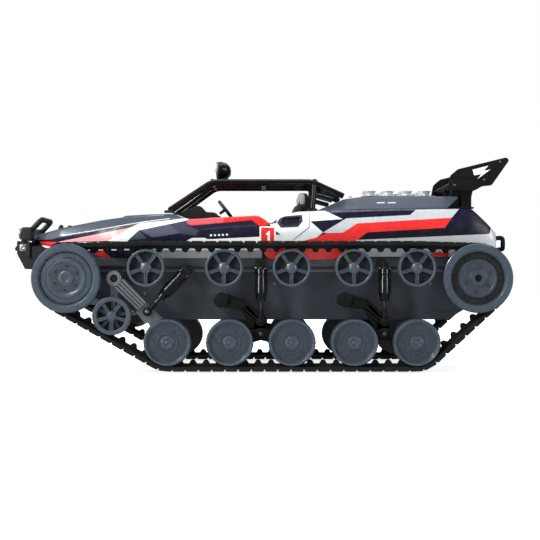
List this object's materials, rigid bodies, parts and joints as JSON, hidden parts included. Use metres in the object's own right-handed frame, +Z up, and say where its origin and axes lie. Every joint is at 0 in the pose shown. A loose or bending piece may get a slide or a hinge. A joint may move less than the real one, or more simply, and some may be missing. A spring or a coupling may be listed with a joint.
{
  "type": "tracked tank chassis",
  "caption": "Radio-controlled fast tracked vehicle: sprung road wheels and rubber belts each side of a hull, under a car-like body with roll cage and rear wing.",
  "frame": {"origin": "on the ground plane, at the middle of the vehicle's overall length and width", "axes": "-X forward, +X to the rear, -Y to the vehicle's left, +Z up"},
  "size_m": [0.4824, 0.202, 0.2],
  "materials": {
    "hull": "satin injection-moulded plastic, dark slate",
    "wheel": "satin slate blue-grey plastic",
    "belt": "matt black rubber",
    "arm_black": "satin black plastic",
    "arm_grey": "satin grey plastic",
    "shock_black": "gloss black damper cylinder",
    "rod_steel": "polished damper rod",
    "body_paint": "painted shell, navy with red, white, silver and grey panels",
    "cover_grey": "satin slate painted cover",
    "stack_chrome": "bright chrome",
    "trim_black": "gloss black tube and trim",
    "interior": "matt black interior",
    "metal": "brushed silver",
    "case": "grey gearbox case",
    "battery": "blue heat-shrink sleeve"
  },
  "bodies": {
    "chassis": {"hull_tub": "hull", "track_left": "belt", "track_right": "belt", "body_shell": "body_paint", "engine_cover": "cover_grey", "intake_stacks": "stack_chrome", "cockpit_tub": "interior", "roll_cage": "trim_black", "roof_light": "trim_black", "front_bumper": "arm_black", "winch": "metal", "bull_bar": "trim_black", "rear_wing": "trim_black", "rear_tow_loop": "arm_black", "gearbox_pack": "case", "battery_pack": "battery"},
    "sprocket_left": {"sprocket_left": "wheel"},
    "idler_left": {"idler_left": "wheel"},
    "front_arm_left": {"front_arm_left": "arm_grey"},
    "tension_wheel_left": {"tension_wheel_left": "wheel"},
    "road_wheel_left_1": {"road_wheel_left_1": "wheel"},
    "shock_body_left_1": {"shock_body_left_1": "shock_black"},
    "shock_rod_left_1": {"shock_rod_left_1": "rod_steel"},
    "bogie_arm_left_1": {"bogie_arm_left_1": "arm_black"},
    "bogie_beam_left_1": {"bogie_beam_left_1": "arm_black"},
    "road_wheel_left_2": {"road_wheel_left_2": "wheel"},
    "road_wheel_left_3": {"road_wheel_left_3": "wheel"},
    "shock_body_left_2": {"shock_body_left_2": "shock_black"},
    "shock_rod_left_2": {"shock_rod_left_2": "rod_steel"},
    "bogie_arm_left_2": {"bogie_arm_left_2": "arm_black"},
    "bogie_beam_left_2": {"bogie_beam_left_2": "arm_black"},
    "road_wheel_left_4": {"road_wheel_left_4": "wheel"},
    "road_wheel_left_5": {"road_wheel_left_5": "wheel"},
    "shock_body_left_3": {"shock_body_left_3": "shock_black"},
    "shock_rod_left_3": {"shock_rod_left_3": "rod_steel"},
    "sprocket_right": {"sprocket_right": "wheel"},
    "idler_right": {"idler_right": "wheel"},
    "front_arm_right": {"front_arm_right": "arm_grey"},
    "tension_wheel_right": {"tension_wheel_right": "wheel"},
    "road_wheel_right_1": {"road_wheel_right_1": "wheel"},
    "shock_body_right_1": {"shock_body_right_1": "shock_black"},
    "shock_rod_right_1": {"shock_rod_right_1": "rod_steel"},
    "bogie_arm_right_1": {"bogie_arm_right_1": "arm_black"},
    "bogie_beam_right_1": {"bogie_beam_right_1": "arm_black"},
    "road_wheel_right_2": {"road_wheel_right_2": "wheel"},
    "road_wheel_right_3": {"road_wheel_right_3": "wheel"},
    "shock_body_right_2": {"shock_body_right_2": "shock_black"},
    "shock_rod_right_2": {"shock_rod_right_2": "rod_steel"},
    "bogie_arm_right_2": {"bogie_arm_right_2": "arm_black"},
    "bogie_beam_right_2": {"bogie_beam_right_2": "arm_black"},
    "road_wheel_right_4": {"road_wheel_right_4": "wheel"},
    "road_wheel_right_5": {"road_wheel_right_5": "wheel"},
    "shock_body_right_3": {"shock_body_right_3": "shock_black"},
    "shock_rod_right_3": {"shock_rod_right_3": "rod_steel"},
    "return_rollers_1": {"return_rollers_1": "wheel"},
    "return_rollers_2": {"return_rollers_2": "wheel"},
    "return_rollers_3": {"return_rollers_3": "wheel"},
    "return_rollers_4": {"return_rollers_4": "wheel"},
    "return_rollers_5": {"return_rollers_5": "wheel"},
    "steering_wheel": {"steering_wheel": "interior"}
  },
  "joints": [
    {"name": "sprocket_left_spin", "type": "hinge", "parent": "chassis", "child": "sprocket_left", "pos_m": [0.19979, -0.09, 0.085], "axis": [0, 1, 0], "continuous": true},
    {"name": "idler_left_spin", "type": "hinge", "parent": "chassis", "child": "idler_left", "pos_m": [-0.17421, -0.09, 0.085], "axis": [0, 1, 0], "continuous": true},
    {"name": "front_arm_left_swing", "type": "hinge", "parent": "chassis", "child": "front_arm_left", "pos_m": [-0.13271, -0.0804, 0.0848], "axis": [0, -1, 0], "range_deg": [0, 6], "stiffness_Nm_per_rad": 8},
    {"name": "tension_wheel_left_spin", "type": "hinge", "parent": "front_arm_left", "child": "tension_wheel_left", "pos_m": [-0.13371, -0.09, 0.0506], "axis": [0, 1, 0], "continuous": true},
    {"name": "road_wheel_left_1_spin", "type": "hinge", "parent": "front_arm_left", "child": "road_wheel_left_1", "pos_m": [-0.08281, -0.0822, 0.0263], "axis": [0, 1, 0], "continuous": true},
    {"name": "shock_left_1_swing", "type": "hinge", "parent": "chassis", "child": "shock_body_left_1", "pos_m": [-0.06651, -0.0822, 0.0918], "axis": [0, -1, 0], "range_deg": [-0.073, 0]},
    {"name": "shock_left_1_stroke", "type": "slide", "parent": "shock_body_left_1", "child": "shock_rod_left_1", "axis": [0.6865, 0, 0.7271], "range_m": [0, 0.00476]},
    {"name": "bogie_arm_left_1_swing", "type": "hinge", "parent": "chassis", "child": "bogie_arm_left_1", "pos_m": [-0.03436, -0.0804, 0.0652], "axis": [0, -1, 0], "range_deg": [0, 8], "stiffness_Nm_per_rad": 8},
    {"name": "bogie_beam_left_1_rock", "type": "hinge", "parent": "bogie_arm_left_1", "child": "bogie_beam_left_1", "pos_m": [0.00254, -0.0822, 0.0336], "axis": [0, -1, 0], "range_deg": [-8, 0]},
    {"name": "road_wheel_left_2_spin", "type": "hinge", "parent": "bogie_beam_left_1", "child": "road_wheel_left_2", "pos_m": [-0.02591, -0.0822, 0.0263], "axis": [0, 1, 0], "continuous": true},
    {"name": "road_wheel_left_3_spin", "type": "hinge", "parent": "bogie_beam_left_1", "child": "road_wheel_left_3", "pos_m": [0.03099, -0.0822, 0.0263], "axis": [0, 1, 0], "continuous": true},
    {"name": "shock_left_2_swing", "type": "hinge", "parent": "chassis", "child": "shock_body_left_2", "pos_m": [0.00254, -0.0822, 0.0977], "axis": [0, -1, 0], "range_deg": [0, 3.12]},
    {"name": "shock_left_2_stroke", "type": "slide", "parent": "shock_body_left_2", "child": "shock_rod_left_2", "axis": [0, 0, 1], "range_m": [0, 0.0055]},
    {"name": "bogie_arm_left_2_swing", "type": "hinge", "parent": "chassis", "child": "bogie_arm_left_2", "pos_m": [0.07944, -0.0804, 0.0652], "axis": [0, -1, 0], "range_deg": [0, 8], "stiffness_Nm_per_rad": 8},
    {"name": "bogie_beam_left_2_rock", "type": "hinge", "parent": "bogie_arm_left_2", "child": "bogie_beam_left_2", "pos_m": [0.11634, -0.0822, 0.0336], "axis": [0, -1, 0], "range_deg": [-8, 0]},
    {"name": "road_wheel_left_4_spin", "type": "hinge", "parent": "bogie_beam_left_2", "child": "road_wheel_left_4", "pos_m": [0.08789, -0.0822, 0.0263], "axis": [0, 1, 0], "continuous": true},
    {"name": "road_wheel_left_5_spin", "type": "hinge", "parent": "bogie_beam_left_2", "child": "road_wheel_left_5", "pos_m": [0.14479, -0.0822, 0.0263], "axis": [0, 1, 0], "continuous": true},
    {"name": "shock_left_3_swing", "type": "hinge", "parent": "chassis", "child": "shock_body_left_3", "pos_m": [0.11634, -0.0822, 0.0977], "axis": [0, -1, 0], "range_deg": [0, 3.12]},
    {"name": "shock_left_3_stroke", "type": "slide", "parent": "shock_body_left_3", "child": "shock_rod_left_3", "axis": [0, 0, 1], "range_m": [0, 0.0055]},
    {"name": "sprocket_right_spin", "type": "hinge", "parent": "chassis", "child": "sprocket_right", "pos_m": [0.19979, 0.09, 0.085], "axis": [0, 1, 0], "continuous": true},
    {"name": "idler_right_spin", "type": "hinge", "parent": "chassis", "child": "idler_right", "pos_m": [-0.17421, 0.09, 0.085], "axis": [0, 1, 0], "continuous": true},
    {"name": "front_arm_right_swing", "type": "hinge", "parent": "chassis", "child": "front_arm_right", "pos_m": [-0.13271, 0.0804, 0.0848], "axis": [0, -1, 0], "range_deg": [0, 6], "stiffness_Nm_per_rad": 8},
    {"name": "tension_wheel_right_spin", "type": "hinge", "parent": "front_arm_right", "child": "tension_wheel_right", "pos_m": [-0.13371, 0.09, 0.0506], "axis": [0, 1, 0], "continuous": true},
    {"name": "road_wheel_right_1_spin", "type": "hinge", "parent": "front_arm_right", "child": "road_wheel_right_1", "pos_m": [-0.08281, 0.0822, 0.0263], "axis": [0, 1, 0], "continuous": true},
    {"name": "shock_right_1_swing", "type": "hinge", "parent": "chassis", "child": "shock_body_right_1", "pos_m": [-0.06651, 0.0822, 0.0918], "axis": [0, -1, 0], "range_deg": [-0.073, 0]},
    {"name": "shock_right_1_stroke", "type": "slide", "parent": "shock_body_right_1", "child": "shock_rod_right_1", "axis": [0.6865, 0, 0.7271], "range_m": [0, 0.00476]},
    {"name": "bogie_arm_right_1_swing", "type": "hinge", "parent": "chassis", "child": "bogie_arm_right_1", "pos_m": [-0.03436, 0.0804, 0.0652], "axis": [0, -1, 0], "range_deg": [0, 8], "stiffness_Nm_per_rad": 8},
    {"name": "bogie_beam_right_1_rock", "type": "hinge", "parent": "bogie_arm_right_1", "child": "bogie_beam_right_1", "pos_m": [0.00254, 0.0822, 0.0336], "axis": [0, -1, 0], "range_deg": [-8, 0]},
    {"name": "road_wheel_right_2_spin", "type": "hinge", "parent": "bogie_beam_right_1", "child": "road_wheel_right_2", "pos_m": [-0.02591, 0.0822, 0.0263], "axis": [0, 1, 0], "continuous": true},
    {"name": "road_wheel_right_3_spin", "type": "hinge", "parent": "bogie_beam_right_1", "child": "road_wheel_right_3", "pos_m": [0.03099, 0.0822, 0.0263], "axis": [0, 1, 0], "continuous": true},
    {"name": "shock_right_2_swing", "type": "hinge", "parent": "chassis", "child": "shock_body_right_2", "pos_m": [0.00254, 0.0822, 0.0977], "axis": [0, -1, 0], "range_deg": [0, 3.12]},
    {"name": "shock_right_2_stroke", "type": "slide", "parent": "shock_body_right_2", "child": "shock_rod_right_2", "axis": [0, 0, 1], "range_m": [0, 0.0055]},
    {"name": "bogie_arm_right_2_swing", "type": "hinge", "parent": "chassis", "child": "bogie_arm_right_2", "pos_m": [0.07944, 0.0804, 0.0652], "axis": [0, -1, 0], "range_deg": [0, 8], "stiffness_Nm_per_rad": 8},
    {"name": "bogie_beam_right_2_rock", "type": "hinge", "parent": "bogie_arm_right_2", "child": "bogie_beam_right_2", "pos_m": [0.11634, 0.0822, 0.0336], "axis": [0, -1, 0], "range_deg": [-8, 0]},
    {"name": "road_wheel_right_4_spin", "type": "hinge", "parent": "bogie_beam_right_2", "child": "road_wheel_right_4", "pos_m": [0.08789, 0.0822, 0.0263], "axis": [0, 1, 0], "continuous": true},
    {"name": "road_wheel_right_5_spin", "type": "hinge", "parent": "bogie_beam_right_2", "child": "road_wheel_right_5", "pos_m": [0.14479, 0.0822, 0.0263], "axis": [0, 1, 0], "continuous": true},
    {"name": "shock_right_3_swing", "type": "hinge", "parent": "chassis", "child": "shock_body_right_3", "pos_m": [0.11634, 0.0822, 0.0977], "axis": [0, -1, 0], "range_deg": [0, 3.12]},
    {"name": "shock_right_3_stroke", "type": "slide", "parent": "shock_body_right_3", "child": "shock_rod_right_3", "axis": [0, 0, 1], "range_m": [0, 0.0055]},
    {"name": "return_rollers_1_spin", "type": "hinge", "parent": "chassis", "child": "return_rollers_1", "pos_m": [-0.10251, 0, 0.0945], "axis": [0, 1, 0], "continuous": true},
    {"name": "return_rollers_2_spin", "type": "hinge", "parent": "chassis", "child": "return_rollers_2", "pos_m": [-0.03121, 0, 0.0945], "axis": [0, 1, 0], "continuous": true},
    {"name": "return_rollers_3_spin", "type": "hinge", "parent": "chassis", "child": "return_rollers_3", "pos_m": [0.03039, 0, 0.0945], "axis": [0, 1, 0], "continuous": true},
    {"name": "return_rollers_4_spin", "type": "hinge", "parent": "chassis", "child": "return_rollers_4", "pos_m": [0.08729, 0, 0.0945], "axis": [0, 1, 0], "continuous": true},
    {"name": "return_rollers_5_spin", "type": "hinge", "parent": "chassis", "child": "return_rollers_5", "pos_m": [0.14479, 0, 0.0945], "axis": [0, 1, 0], "continuous": true},
    {"name": "steering_wheel_turn", "type": "hinge", "parent": "chassis", "child": "steering_wheel", "pos_m": [-0.03271, -0.019, 0.1523], "axis": [0.7869, 0, 0.617], "range_deg": [-60, 60]}
  ],
  "couplings": [
    {"joint": "idler_left_spin", "follows": "sprocket_left_spin", "ratio": 1},
    {"joint": "tension_wheel_left_spin", "follows": "sprocket_left_spin", "ratio": 1.5795},
    {"joint": "road_wheel_left_1_spin", "follows": "sprocket_left_spin", "ratio": 1.2752},
    {"joint": "shock_left_1_swing", "follows": "front_arm_left_swing", "ratio": -0.01154},
    {"joint": "shock_left_1_stroke", "follows": "front_arm_left_swing", "m_per_rad": 0.043327},
    {"joint": "bogie_beam_left_1_rock", "follows": "bogie_arm_left_1_swing", "ratio": -1},
    {"joint": "road_wheel_left_2_spin", "follows": "sprocket_left_spin", "ratio": 1.2752},
    {"joint": "road_wheel_left_3_spin", "follows": "sprocket_left_spin", "ratio": 1.2752},
    {"joint": "shock_left_2_swing", "follows": "bogie_arm_left_1_swing", "ratio": 0.37118},
    {"joint": "shock_left_2_stroke", "follows": "bogie_arm_left_1_swing", "m_per_rad": 0.037534},
    {"joint": "bogie_beam_left_2_rock", "follows": "bogie_arm_left_2_swing", "ratio": -1},
    {"joint": "road_wheel_left_4_spin", "follows": "sprocket_left_spin", "ratio": 1.2752},
    {"joint": "road_wheel_left_5_spin", "follows": "sprocket_left_spin", "ratio": 1.2752},
    {"joint": "shock_left_3_swing", "follows": "bogie_arm_left_2_swing", "ratio": 0.37118},
    {"joint": "shock_left_3_stroke", "follows": "bogie_arm_left_2_swing", "m_per_rad": 0.037534},
    {"joint": "idler_right_spin", "follows": "sprocket_right_spin", "ratio": 1},
    {"joint": "tension_wheel_right_spin", "follows": "sprocket_right_spin", "ratio": 1.5795},
    {"joint": "road_wheel_right_1_spin", "follows": "sprocket_right_spin", "ratio": 1.2752},
    {"joint": "shock_right_1_swing", "follows": "front_arm_right_swing", "ratio": -0.01154},
    {"joint": "shock_right_1_stroke", "follows": "front_arm_right_swing", "m_per_rad": 0.043327},
    {"joint": "bogie_beam_right_1_rock", "follows": "bogie_arm_right_1_swing", "ratio": -1},
    {"joint": "road_wheel_right_2_spin", "follows": "sprocket_right_spin", "ratio": 1.2752},
    {"joint": "road_wheel_right_3_spin", "follows": "sprocket_right_spin", "ratio": 1.2752},
    {"joint": "shock_right_2_swing", "follows": "bogie_arm_right_1_swing", "ratio": 0.37118},
    {"joint": "shock_right_2_stroke", "follows": "bogie_arm_right_1_swing", "m_per_rad": 0.037534},
    {"joint": "bogie_beam_right_2_rock", "follows": "bogie_arm_right_2_swing", "ratio": -1},
    {"joint": "road_wheel_right_4_spin", "follows": "sprocket_right_spin", "ratio": 1.2752},
    {"joint": "road_wheel_right_5_spin", "follows": "sprocket_right_spin", "ratio": 1.2752},
    {"joint": "shock_right_3_swing", "follows": "bogie_arm_right_2_swing", "ratio": 0.37118},
    {"joint": "shock_right_3_stroke", "follows": "bogie_arm_right_2_swing", "m_per_rad": 0.037534}
  ]
}
